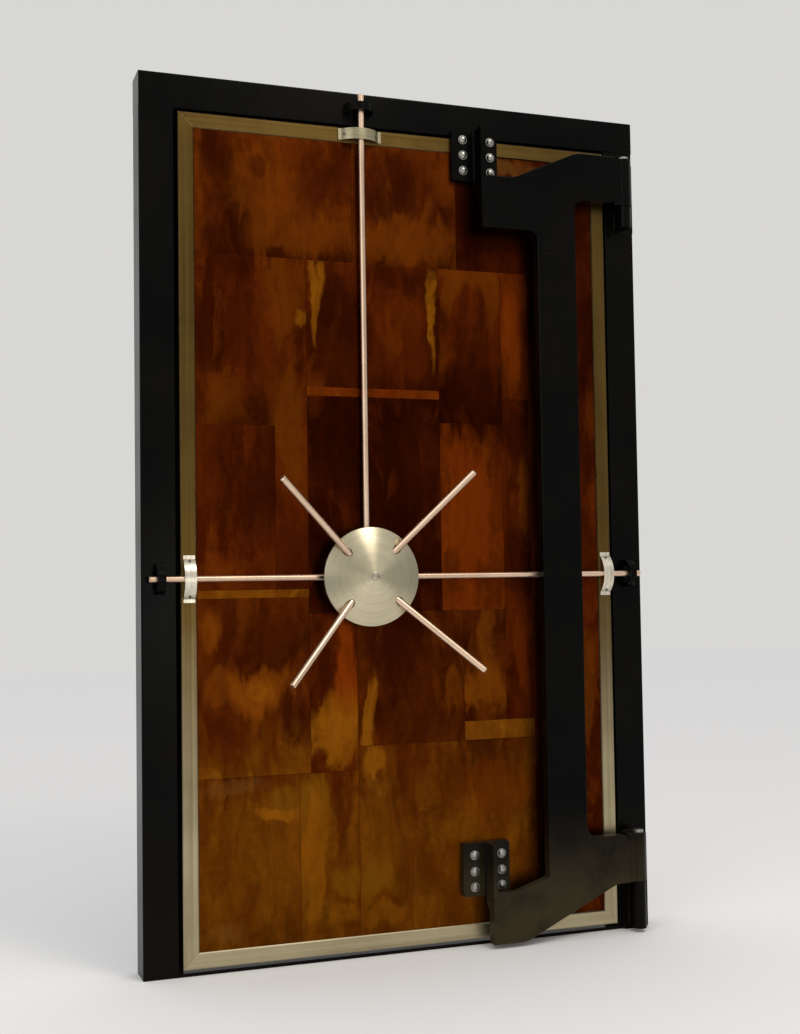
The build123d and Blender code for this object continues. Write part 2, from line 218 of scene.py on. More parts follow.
# %% [markdown]
# A finish on metal is mostly three things: grain from the tool that made it, wear where hands and edges
# meet, and dust or tarnish that settles. Each is a small node group with named inputs and outputs, so
# every material places the same group with its own numbers. A socket's kind follows from the value that
# it starts with: one number, three for a vector, or four for a colour. Object coordinates are used
# throughout, so a finish stays on its piece when the door swings.

# %% A node group with named sockets
KINDS = {1: "NodeSocketFloat", 3: "NodeSocketVector", 4: "NodeSocketColor"}


def new_group(name, inputs, outputs):
    group = bpy.data.node_groups.new(name, "ShaderNodeTree")
    for side, sockets in (("INPUT", inputs), ("OUTPUT", outputs)):
        for title, start in sockets.items():
            kind = KINDS[len(start) if isinstance(start, tuple) else 1]
            group.interface.new_socket(name=title, in_out=side, socket_type=kind).default_value = start
    print("group", name, "gives", list(outputs))
    return group, add_node(group, "NodeGroupInput").outputs, add_node(group, "NodeGroupOutput").inputs


def noise(tree, vector, scale, detail=3.0, roughness=0.5, distortion=0.0, output="Fac"):
    node = add_node(tree, "ShaderNodeTexNoise")
    wire(tree, node.inputs, Vector=vector, Scale=scale, Detail=detail)
    wire(tree, node.inputs, Roughness=roughness, Distortion=distortion)
    return node.outputs[output]


def spread(tree, value, low, high, to_low=0.0, to_high=1.0):
    node = add_node(tree, "ShaderNodeMapRange", interpolation_type="SMOOTHSTEP")
    for index, number in enumerate((value, low, high, to_low, to_high)):
        plug(tree, node.inputs[index], number)
    return node.outputs[0]


def blend_colours(tree, factor, first, second):
    node = add_node(tree, "ShaderNodeMix", data_type="RGBA")
    plug(tree, node.inputs[0], factor)
    for index, value in ((6, first), (7, second)):
        plug(tree, node.inputs[index], value if hasattr(value, "is_output") else (*value, 1))
    return node.outputs[2]


def pulled_place(tree, place, squeeze, scale, amount):
    wobble = noise(tree, stretched(tree, place, squeeze), scale, 3.0, 0.5, 0.0, "Color")
    around_zero = vector_node(tree, "SUBTRACT", wobble, (0.5, 0.5, 0.5))
    return vector_node(tree, "ADD", place, vector_node(tree, "SCALE", around_zero, amount))


# %% [markdown]
# Edges wear first. The Bevel node gives a normal that leans over near an edge. Where it differs from
# the true normal there is an edge, and a noise breaks that line up so that it doesn't look drawn.

# %% Edge wear group
def build_edge_wear():
    start = {"Width": 0.002, "Amount": 1.0, "Break up": 60.0}
    group, given, result = new_group("edge_wear", start, {"Mask": 0.0})
    bevel = add_node(group, "ShaderNodeBevel", samples=4)
    link(group, given["Width"], bevel.inputs["Radius"])
    true_normal = add_node(group, "ShaderNodeNewGeometry").outputs["Normal"]
    alike = vector_node(group, "DOT_PRODUCT", bevel.outputs[0], true_normal)
    edge = spread(group, minus(group, 1.0, alike), 0.02, 0.22)
    broken = spread(group, noise(group, object_place(group), given["Break up"], 4.0, 0.6), 0.42, 0.62)
    mask = times(group, edge, broken)
    link(group, times(group, mask, given["Amount"], clamp=True), result["Mask"])
    return group


EDGE_WEAR = build_edge_wear()

# %% [markdown]
# Brushed metal is a surface full of parallel scratches. A noise that is squeezed hard across the grain
# and left long along it gives them. Grain is that squeeze, one number for each axis, and Turn first
# lays a slanting bar, such as a spoke, along the X axis.

# %% Brushed grain group
def build_brushed_grain():
    group, given, result = new_group(
        "brushed_grain",
        {"Grain": (1, 1, 1), "Turn": (0, 0, 0), "Fineness": 900.0},
        {"Height": 0.0, "Roughness": 0.0, "Tone": 0.0},
    )
    place = object_place(group)
    laid = add_node(group, "ShaderNodeVectorRotate", rotation_type="EULER_XYZ")
    wire(group, laid.inputs, Vector=place, Rotation=given["Turn"])
    squeezed = stretched(group, laid.outputs[0], given["Grain"])
    scratches = noise(group, squeezed, given["Fineness"], 5.0, 0.65)
    broad = noise(group, squeezed, times(group, given["Fineness"], 0.12), 2.0, 0.5)
    smears = noise(group, place, 6.0, 3.0, 0.6)
    rough = weighed(group, scratches, 0.6, smears, 0.4)
    tone = weighed(group, broad, 0.6, smears, 0.4)
    wire(group, result, Height=scratches, Roughness=rough, Tone=tone)
    return group


BRUSHED_GRAIN = build_brushed_grain()

# %% [markdown]
# A dome that was spun on a lathe has rings round its middle. The distance from its axis takes the place
# of the squeezed coordinate, and a slow change round the circle keeps the rings from being perfect. Fans
# is a mask that is bright above and below the axis; the dome uses it to paint highlight fans into its colour.

# %% Turned grain group
def build_turned_grain():
    group, given, result = new_group(
        "turned_grain",
        {"Axis place": (0, 0, 0), "Rings": 900.0},
        {"Height": 0.0, "Roughness": 0.0, "Tone": 0.0, "Fans": 0.0},
    )
    from_axis = vector_node(group, "SUBTRACT", object_place(group), given["Axis place"])
    flat = stretched(group, from_axis, (1, 0, 1))
    radius = vector_node(group, "LENGTH", flat, None)
    east, _, up = split(group, flat)
    joined = add_node(group, "ShaderNodeCombineXYZ")
    for index, (part, scale) in enumerate(((radius, given["Rings"]), (east, 5.0), (up, 5.0))):
        link(group, times(group, part, scale), joined.inputs[index])
    rings = noise(group, joined.outputs[0], 1.0, 4.0, 0.6)
    broad = noise(group, stretched(group, joined.outputs[0], (0.08, 1, 1)), 1.0, 3.0, 0.5)
    smears = noise(group, from_axis, 9.0, 3.0, 0.5)
    rough = weighed(group, rings, 0.6, smears, 0.4)
    tone = weighed(group, broad, 0.5, smears, 0.5)
    off_axis = math_node(group, "MAXIMUM", radius, 0.001)
    upright = math_node(group, "DIVIDE", math_node(group, "ABSOLUTE", up), off_axis)
    fans = spread(group, plus(group, upright, swing(group, smears, 0.5)), 0.25, 0.95)
    wire(group, result, Height=rings, Roughness=rough, Tone=tone, Fans=fans)
    return group


TURNED_GRAIN = build_turned_grain()

# %% [markdown]
# Dust lies on whatever faces up, and a thin film of it hangs on everything else in soft clouds.

# %% Dust group
def build_dust():
    group, given, result = new_group("dust", {"Settled": 1.0, "Film": 0.1}, {"Mask": 0.0})
    facing = split(group, add_node(group, "ShaderNodeNewGeometry").outputs["Normal"])
    place = object_place(group)
    clouds = spread(group, noise(group, place, 5.0, 5.0, 0.6), 0.35, 0.7)
    specks = noise(group, place, 240.0, 2.0, 0.5)
    up = times(group, spread(group, facing[2], 0.55, 1.0), given["Settled"])
    dust_film_and_reflection = times(group, times(group, clouds, specks), given["Film"])
    link(group, plus(group, times(group, up, specks), dust_film_and_reflection, clamp=True), result["Mask"])
    return group


DUST = build_dust()

# %% [markdown]
# Each material starts in the same way: a Principled shader, a Bump node for its normal, and a helper that
# places a shared group and sets its inputs by name.

# %% Start of a material
def start_material(name, **sockets):
    material = bpy.data.materials.new(name)
    material.use_nodes = True
    tree = material.node_tree
    shader = tree.nodes["Principled BSDF"]
    wire(tree, shader.inputs, **sockets)
    print("material", name)
    return material, tree, shader


def place_group(tree, group, **values):
    node = add_node(tree, "ShaderNodeGroup", node_tree=group)
    wire(tree, node.inputs, **values)
    return node.outputs


def bump(tree, shader, height, strength, distance):
    node = add_node(tree, "ShaderNodeBump")
    wire(tree, node.inputs, Strength=strength, Distance=distance, Height=height)
    link(tree, node.outputs[0], shader.inputs["Normal"])


# %% [markdown]
# The frame and the hinge are steel under black gloss enamel. Enamel on a large steel section is never
# quite flat: it has a faint orange-peel skin, a little dust, and it thins to dark grey on corners. The
# specular level is low, so that the paint stays black in a pale room as it does in a dark one. Low down
# the colour takes a patchy khaki tint, a painted reflection of the bright floor: strong on the crane,
# which swings low over it, and faint on the frame.

# %% Black gloss enamel
ENAMEL_TONES = ((0.0007, 0.0006, 0.0005), (0.0018, 0.0015, 0.0011))
THIN_ENAMEL, GREY_DUST, FLOOR_REFLECTION_KHAKI = (0.022, 0.019, 0.015), (0.09, 0.082, 0.068), (0.070, 0.054, 0.024)
FLOOR_REFLECTION_TOP, FLOOR_REFLECTION_FULL = 0.42, 0.08


def black_enamel(name, floor_reflection_strength):
    material, tree, shader = start_material(name, Specular_IOR_Level=0.06)
    place = object_place(tree)
    wear = place_group(tree, EDGE_WEAR, Width=0.0025, Amount=0.5, Break_up=38.0)["Mask"]
    dust = place_group(tree, DUST, Settled=0.25, Film=0.020)["Mask"]
    clouds = noise(tree, place, 3.0, 4.0, 0.55)
    skin = blend_colours(tree, spread(tree, clouds, 0.3, 0.7), *ENAMEL_TONES)
    worn = blend_colours(tree, wear, skin, THIN_ENAMEL)
    dusty = blend_colours(tree, dust, worn, GREY_DUST)
    # Painted reflection of the bright floor: a patchy khaki tint that grows towards the floor.
    floor_reflection_share = spread(tree, split(tree, place)[2], FLOOR_REFLECTION_TOP, FLOOR_REFLECTION_FULL)
    patchy_floor_reflection = times(tree, floor_reflection_share, spread(tree, noise(tree, place, 9.0, 5.0, 0.6), 0.25, 0.6, 0.4, 1.0))
    painted_reflection_colour = blend_colours(tree, times(tree, patchy_floor_reflection, floor_reflection_strength), dusty, FLOOR_REFLECTION_KHAKI)
    rough = plus(tree, spread(tree, clouds, 0.25, 0.75, 0.17, 0.28), times(tree, dust, 0.5))
    rough = plus(tree, rough, times(tree, wear, 0.15))
    wire(tree, shader.inputs, Base_Color=painted_reflection_colour, Roughness=rough)
    bump(tree, shader, noise(tree, place, 260.0, 2.0, 0.5), 0.06, 0.001)
    return material


# The second number sets how strong the painted floor reflection is.
ENAMEL = black_enamel("black_gloss_enamel", 0.04)
CRANE_ENAMEL = black_enamel("crane_enamel", 0.48)

# %% [markdown]
# The leaf's back was never in view, so it stays plain: a steel sheet under a rolled satin primer. It is a
# shade lighter than the enamel, so its shape can be read from behind.

# %% Satin primer
PRIMER_TONES = ((0.016, 0.0155, 0.015), (0.023, 0.022, 0.021))
RUBBED_PRIMER, PALE_DUST = (0.055, 0.052, 0.048), (0.11, 0.105, 0.095)


def satin_primer():
    material, tree, shader = start_material("satin_primer", Specular_IOR_Level=0.20)
    place = object_place(tree)
    clouds = noise(tree, place, 2.4, 4.0, 0.6)
    stipple = noise(tree, place, 420.0, 3.0, 0.6)
    wear = place_group(tree, EDGE_WEAR, Width=0.002, Amount=0.6, Break_up=45.0)["Mask"]
    dust = place_group(tree, DUST, Settled=0.3, Film=0.05)["Mask"]
    tone = blend_colours(tree, spread(tree, clouds, 0.3, 0.7), *PRIMER_TONES)
    tone = blend_colours(tree, wear, tone, RUBBED_PRIMER)
    tone = blend_colours(tree, dust, tone, PALE_DUST)
    wire(tree, shader.inputs, Base_Color=tone, Roughness=spread(tree, stipple, 0.3, 0.7, 0.42, 0.56))
    bump(tree, shader, stipple, 0.10, 0.0006)
    return material


PRIMER = satin_primer()

# %% [markdown]
# The border bars, guides, rods, spokes and dome are stainless steel. Each is brushed along its own
# length, so one function makes the finish for any grain direction. The borders and the top guide also
# take a brown tint, a colour that multiplies their own and grows with height. It is a painted
# reflection: the steel is painted dim and warm at the head, as if it mirrored a dim warm room, and left
# bright at the foot, as if it mirrored the bright floor.

# %% Brushed stainless
POLISHED = (0.62, 0.56, 0.45)
ROOM_REFLECTION_STARTS, ROOM_REFLECTION_DEEP = 0.5, 1.6


# Painted reflection: the colour dims and browns as the height grows.
def painted_reflection_by_height(tree, colour, dust_film_and_reflection):
    place = object_place(tree)
    uneven = noise(tree, place, 2.2, 3.0, 0.6)
    level = plus(tree, split(tree, place)[2], times(tree, uneven, 0.9))
    painted_reflection_colour = vector_node(tree, "MULTIPLY", colour, dust_film_and_reflection)
    return blend_colours(tree, spread(tree, level, ROOM_REFLECTION_STARTS, ROOM_REFLECTION_DEEP), colour, painted_reflection_colour)


def finish_steel(tree, shader, grain, dark, light, rough, dust_film_and_reflection=None, relief=0.12):
    wear = place_group(tree, EDGE_WEAR, Width=0.0015, Amount=0.6, Break_up=70.0)["Mask"]
    tone = blend_colours(tree, spread(tree, grain["Tone"], 0.3, 0.7), dark, light)
    if dust_film_and_reflection is not None:
        tone = painted_reflection_by_height(tree, tone, dust_film_and_reflection)
    tone = blend_colours(tree, wear, tone, POLISHED)
    wire(tree, shader.inputs, Base_Color=tone, Roughness=spread(tree, grain["Roughness"], 0.3, 0.7, *rough))
    bump(tree, shader, grain["Height"], relief, 0.0004)


def brushed_steel(name, grain, dark, light, rough, fineness=900.0, dust_film_and_reflection=None, turn=(0, 0, 0)):
    material, tree, shader = start_material(name, Metallic=1.0)
    brushed = place_group(tree, BRUSHED_GRAIN, Grain=grain, Turn=turn, Fineness=fineness)
    finish_steel(tree, shader, brushed, dark, light, rough, dust_film_and_reflection)
    return material


ALONG_X, ALONG_Z = (0.012, 1, 1), (1, 1, 0.012)
# The border tones are warm partly as a painted reflection of the warm room.
BORDER_TONES = ((0.34, 0.285, 0.165), (0.50, 0.43, 0.27), (0.26, 0.40))
WARM_ROOM_REFLECTION, GUIDE_ROOM_REFLECTION = (0.235, 0.165, 0.070), (0.44, 0.42, 0.32)
BORDER_X = brushed_steel("border_steel_along_x", ALONG_X, *BORDER_TONES, dust_film_and_reflection=WARM_ROOM_REFLECTION)
BORDER_Z = brushed_steel("border_steel_along_z", ALONG_Z, *BORDER_TONES, dust_film_and_reflection=WARM_ROOM_REFLECTION)
# The guides' tones are a lighter copy of the border steel, partly a painted highlight for the glare on their
# bows.
GUIDE_TONES = ((0.52, 0.475, 0.37), (0.82, 0.765, 0.63), (0.24, 0.36))
GUIDE_X = brushed_steel("guide_steel_along_x", ALONG_X, *GUIDE_TONES, dust_film_and_reflection=GUIDE_ROOM_REFLECTION)
GUIDE_Z = brushed_steel("guide_steel_along_z", ALONG_Z, *GUIDE_TONES)

# %% [markdown]
# The rods and spokes are drawn bar. Their warm, slightly rosy tone is a painted reflection of the copper
# sheets around them. A spoke slants in all three axes. Its box gives the way it points: each side of the
# box is the bar's run plus its thickness as seen from that side, and three rounds of that sum settle it.

# %% Bar steel
# Painted reflection: the bar tones are tinted rosy by the copper they would mirror.
BAR_TONES_WITH_COPPER_REFLECTION = ((0.54, 0.375, 0.255), (0.84, 0.62, 0.455), (0.22, 0.34))
ROD_X = brushed_steel("rod_steel_along_x", ALONG_X, *BAR_TONES_WITH_COPPER_REFLECTION, fineness=700.0)
ROD_Z = brushed_steel("rod_steel_along_z", ALONG_Z, *BAR_TONES_WITH_COPPER_REFLECTION, fineness=700.0)
SPOKE_RADIUS = 0.0105


def spoke_direction(name):
    low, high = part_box(name)
    signs = Vector((1 if name.endswith("e") else -1, -1, 1 if "_n" in name else -1))
    size = high - low
    run = size.copy()
    for _ in range(3):
        way = run.normalized()
        run = Vector([side - 2 * SPOKE_RADIUS * math.sqrt(1 - part * part) for side, part in zip(size, way)])
    return Vector([sign * part for sign, part in zip(signs, run.normalized())])


def spoke_steel(name):
    turn = spoke_direction(name).rotation_difference(Vector((1, 0, 0))).to_euler()
    return brushed_steel(name + "_steel", ALONG_X, *BAR_TONES_WITH_COPPER_REFLECTION, fineness=700.0, turn=tuple(turn))


spoke_names = ["spoke_ne", "spoke_nw", "spoke_sw", "spoke_se"]
spoke_finishes = {name: spoke_steel(name) for name in spoke_names}
print("spoke directions:", {name: [round(v, 2) for v in spoke_direction(name)] for name in spoke_names})

# %% [markdown]
# The dome was brushed while it turned. Such metal throws a highlight in two fans that meet at its
# middle, because each fine groove spreads light only across itself. The shader's anisotropy does that,
# with a Tangent node that runs round the dome's axis, Y. The colour also has painted highlight fans: it
# is kept full above and below the middle and darkened at the left and right sides as painted shade. Its
# warm tint is partly a painted reflection of the warm room.

# %% Spun dome and crown steel
PAINTED_SIDE_SHADE = 0.62


def turned_steel(name, axis_place, dark, light, rough, fan):
    material, tree, shader = start_material(name, Metallic=1.0, Anisotropic=fan, Anisotropic_Rotation=0.25)
    tangent = add_node(tree, "ShaderNodeTangent", direction_type="RADIAL", axis="Y")
    link(tree, tangent.outputs[0], shader.inputs["Tangent"])
    turned = place_group(tree, TURNED_GRAIN, Axis_place=axis_place, Rings=1400.0)
    # Painted highlight fans: each tone is darkened away from the fans, as painted shade on the sides.
    painted_fan_tones = []
    for tone in (dark, light):
        shaded_side = [PAINTED_SIDE_SHADE * part for part in tone]
        painted_fan_tones.append(blend_colours(tree, turned["Fans"], shaded_side, tone))
    finish_steel(tree, shader, turned, *painted_fan_tones, rough, relief=0.04)
    return material


dome_low, dome_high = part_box("dome")
hub_place = (dome_low + dome_high) / 2
# The dome's warm tint is partly a painted reflection of the warm room.
DOME_TONES = ((0.52, 0.460, 0.310), (0.62, 0.555, 0.390), (0.30, 0.40))
CROWN_TONES = ((0.34, 0.31, 0.23), (0.48, 0.44, 0.34), (0.22, 0.34))
DOME_STEEL = turned_steel("spun_stainless", hub_place, *DOME_TONES, fan=0.80)
CROWN_STEEL = turned_steel("crown_steel", hub_place, *CROWN_TONES, fan=0.5)

# %% [markdown]
# The parts that only show through gaps, such as the pins and the draw plate, were turned or milled and
# left bare: greyer, rougher and with coarser tool marks. Bolts have a smoother skin, the guides' screws
# are darkened steel, and neither has a grain.

# %% Machined steel
NO_GRAIN, COARSE_GRAIN = (1, 1, 1), (1, 1, 0.05)
MACHINED_TONES = ((0.20, 0.195, 0.18), (0.38, 0.37, 0.34), (0.32, 0.5))
BOLT_TONES = ((0.25, 0.245, 0.22), (0.44, 0.43, 0.39), (0.22, 0.36))
SCREW_TONES = ((0.07, 0.065, 0.055), (0.16, 0.15, 0.13), (0.28, 0.42))
MACHINED = brushed_steel("machined_steel", COARSE_GRAIN, *MACHINED_TONES, fineness=500.0)
BOLT_STEEL = brushed_steel("bolt_steel", NO_GRAIN, *BOLT_TONES, fineness=260.0)
SCREW_STEEL = brushed_steel("screw_steel", NO_GRAIN, *SCREW_TONES, fineness=320.0)

# %% [markdown]
# Give each CAD piece its finish. The borders, guides and rods take the grain that runs along them.

# %% Materials on the CAD pieces
def finish_node(name, material):
    slots = nodes[name].data.materials
    if len(slots) == 0:
        slots.append(material)
    for index in range(len(slots)):
        slots[index] = material


finishes = {
    "border_left": BORDER_Z, "border_right": BORDER_Z, "border_top": BORDER_X, "border_bottom": BORDER_X,
    "guide_left": GUIDE_Z, "guide_right": GUIDE_Z, "guide_top": GUIDE_X, "dome": DOME_STEEL,
    "rod_left": ROD_X, "rod_right": ROD_X, "rod_top": ROD_Z,
    "hinge_pin_bottom": MACHINED, "hinge_pin_top": MACHINED, "hub_boss": MACHINED, "bearing_ring": MACHINED,
    "spindle": MACHINED, "hub_block": MACHINED, "cam_plate": MACHINED, "back_panel": PRIMER,
}
finishes.update(spoke_finishes)
ENDS = ("bottom", "top")
crane_nodes = ["column"] + [f"{kind}_{end}" for kind in ("arm", "knuckle", "bracket") for end in ENDS]
finishes.update(dict.fromkeys(crane_nodes, CRANE_ENAMEL))
for name in nodes:
    finish_node(name, finishes.get(name, ENAMEL))
print("finished", len(nodes), "CAD pieces")

# %% [markdown]
# The leaf's face is clad in copper sheets that were torch-coloured: heat and acid leave dark maroon,
# orange and gold in clouds and upright tongues. This group makes that skin for one sheet. A slow noise
# pulls the place about before the clouds are read, which bends their edges as a flame does. The Offset
# input moves the pattern, so it breaks off at most joints, as on sheets that were coloured apart.

# %% Copper patina group
def build_patina():
    group, given, result = new_group(
        "copper_patina",
        {"Dark": (0.03, 0.004, 0.001, 1), "Middle": (0.08, 0.014, 0.001, 1), "Bright": (0.16, 0.04, 0.002, 1),
         "Offset": (0, 0, 0), "Cloud size": 4.5, "Tongues": 0.5},
        {"Colour": (0, 0, 0, 1), "Roughness": 0.0, "Height": 0.0},
    )
    sheet_place = vector_node(group, "ADD", object_place(group), given["Offset"])
    bent = pulled_place(group, sheet_place, (1, 1, 0.55), 6.0, 0.17)
    clouds = noise(group, stretched(group, bent, (1, 1, 0.6)), given["Cloud size"], 5.0, 0.55)
    flames = noise(group, stretched(group, bent, (1, 1, 0.16)), 15.0, 4.0, 0.5, 0.4)
    soft = noise(group, stretched(group, bent, (1, 1, 0.8)), 9.0, 3.0, 0.5)
    runs = noise(group, stretched(group, bent, (1, 1, 0.10)), 38.0, 4.0, 0.55)
    fine = noise(group, sheet_place, 60.0, 6.0, 0.7)
    base = blend_colours(group, spread(group, clouds, 0.40, 0.58), given["Dark"], given["Middle"])
    tongues = times(group, spread(group, flames, 0.50, 0.60), spread(group, soft, 0.40, 0.60))
    lit = blend_colours(group, times(group, tongues, given["Tongues"]), base, given["Bright"])
    streaks = spread(group, runs, 0.3, 0.7, 0.86, 1.14)
    grain = times(group, streaks, spread(group, fine, 0.3, 0.7, 0.87, 1.14))
    rough = plus(group, spread(group, clouds, 0.3, 0.7, 0.28, 0.38), times(group, runs, 0.08))
    height = plus(group, noise(group, sheet_place, 7.0, 2.0, 0.4), times(group, fine, 0.02))
    wire(group, result, Colour=vector_node(group, "SCALE", lit, grain), Roughness=rough, Height=height)
    return group


PATINA = build_patina()

# %% [markdown]
# Some features of the patina are too large to leave to chance: a golden streak, a dark cloud. One dark
# bloom, on the head's right sheet under the top arm, is a painted shadow instead. A bloom is a soft patch
# with a middle and a reach. Taper narrows it towards its foot, as a run of acid does, or towards its head
# where it is below zero. A power of three rounds it between an oval and a box. The same pull as in the
# patina makes its edge ragged, and a noise that is long upright breaks its head and foot into fingers.

# %% Bloom group
def build_bloom():
    group, given, result = new_group(
        "bloom",
        {"Middle": (0, 0, 0), "Reach": (0.1, 1, 0.1), "Taper": 0.0, "Ragged": 0.06, "Softness": 0.36},
        {"Mask": 0.0},
    )
    pulled = pulled_place(group, object_place(group), (1, 1, 0.45), 13.0, given["Ragged"])
    pulled = pulled_place(group, pulled, (1, 1, 0.7), 45.0, times(group, given["Ragged"], 0.3))
    from_middle = vector_node(group, "SUBTRACT", pulled, given["Middle"])
    share = split(group, vector_node(group, "DIVIDE", from_middle, given["Reach"]))
    fingers = noise(group, stretched(group, pulled, (1, 1, 0.12)), 30.0, 3.0, 0.5)
    up = plus(group, share[2], swing(group, fingers, 2.2))
    narrow = plus(group, times(group, share[2], given["Taper"]), 1.0)
    across = math_node(group, "DIVIDE", share[0], math_node(group, "MAXIMUM", narrow, 0.2))
    cubes = [math_node(group, "POWER", math_node(group, "ABSOLUTE", part), 3.0) for part in (across, up)]
    size = math_node(group, "POWER", plus(group, *cubes), 1 / 3)
    edge_out = plus(group, 1.0, given["Softness"])
    edge_in = minus(group, 1.0, given["Softness"])
    flicker = noise(group, stretched(group, pulled, (1, 1, 0.3)), 34.0, 4.0, 0.6)
    thin = spread(group, flicker, 0.35, 0.60, 0.62, 1.0)
    link(group, times(group, spread(group, size, edge_out, edge_in), thin), result["Mask"])
    return group


BLOOM = build_bloom()

# %% [markdown]
# The tones run from a maroon that is nearly black to a dull gold. Copper is a bare metal, so a tone is
# the colour of its reflection, and blue stays close to zero in all of them.

# %% Copper tones and sheets
TONES = {
    "maroon": ((0.022, 0.0028, 0.0004), (0.042, 0.0058, 0.0006), (0.072, 0.011, 0.0009)),
    "umber": ((0.034, 0.0050, 0.0005), (0.074, 0.0128, 0.0009), (0.125, 0.027, 0.0017)),
    "russet": ((0.040, 0.0054, 0.0005), (0.083, 0.0124, 0.0009), (0.135, 0.026, 0.0017)),
    "orange": ((0.090, 0.0130, 0.0009), (0.145, 0.0230, 0.0013), (0.190, 0.038, 0.0022)),
    "honey": ((0.094, 0.0235, 0.0012), (0.140, 0.0400, 0.0019), (0.190, 0.064, 0.0034)),
    "gold": ((0.150, 0.0420, 0.0022), (0.210, 0.0640, 0.0036), (0.260, 0.090, 0.0060)),
}
GOLD, AMBER, FLAME = (0.25, 0.08, 0.0035), (0.175, 0.043, 0.0022), (0.185, 0.029, 0.0013)
RUST, DEEP, DARKEST = (0.06, 0.009, 0.0008), (0.03, 0.004, 0.0005), (0.018, 0.0022, 0.0004)
OLIVE, PALE, HAZE = (0.172, 0.061, 0.0026), (0.19, 0.078, 0.016), (0.128, 0.0272, 0.0013)
BARE_COPPER = (0.26, 0.085, 0.012)


def faded_tones(tree, tone, other, from_height, to_height):
    place = object_place(tree)
    fingers = noise(tree, stretched(tree, place, (1, 1, 0.2)), 19.0, 4.0, 0.55)
    level = plus(tree, split(tree, place)[2], swing(tree, fingers, 0.48))
    share = spread(tree, level, from_height, to_height)
    return [blend_colours(tree, share, first, second) for first, second in zip(TONES[tone], TONES[other])]


def copper_sheet(name, tone, offset, blooms, fade):
    material, tree, shader = start_material(name, Metallic=1.0)
    tones = faded_tones(tree, tone, *fade) if fade else [(*colour, 1) for colour in TONES[tone]]
    skin = place_group(tree, PATINA, Dark=tones[0], Middle=tones[1], Bright=tones[2], Offset=offset)
    colour = skin["Colour"]
    for x, z, wide, high, bloom_colour, amount, *taper in blooms:
        shape = {"Middle": (x, 0, z), "Reach": (wide, 1, high), "Taper": taper[0] if taper else 0.0}
        mask = place_group(tree, BLOOM, **shape, Ragged=0.06 + 0.6 * min(wide, high))["Mask"]
        colour = blend_colours(tree, times(tree, mask, amount), colour, bloom_colour)
    wear = place_group(tree, EDGE_WEAR, Width=0.0012, Amount=0.35, Break_up=30.0)["Mask"]
    colour = blend_colours(tree, wear, colour, BARE_COPPER)
    wire(tree, shader.inputs, Base_Color=colour, Roughness=skin["Roughness"])
    bump(tree, shader, skin["Height"], 0.25, 0.004)
    return material


# %% [markdown]
# The sheets are separate plates with a soft edge and a hair of a joint between them. They stand for the
# CAD cladding, and fill the same 8 mm. Each row is one sheet: its left, right, bottom and top in metres,
# and its tone. Where a sheet fades into a neighbour's tone, the row also has that tone, and the heights
# where the fade starts and ends. The tones are partly patina and partly painted light: the foot's sheets
# are lighter, honey and gold, as if lit by a bright floor, and the head's sheets darker, as painted shade.

# %% Sheet layout
clad_low, clad_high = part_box("cladding")
LEFT, RIGHT, FOOT, HEAD = clad_low.x, clad_high.x, clad_low.z, clad_high.z
FLANK, INNER, MIDDLE_LEFT, SEAM = -0.410, -0.345, -0.310, -0.163
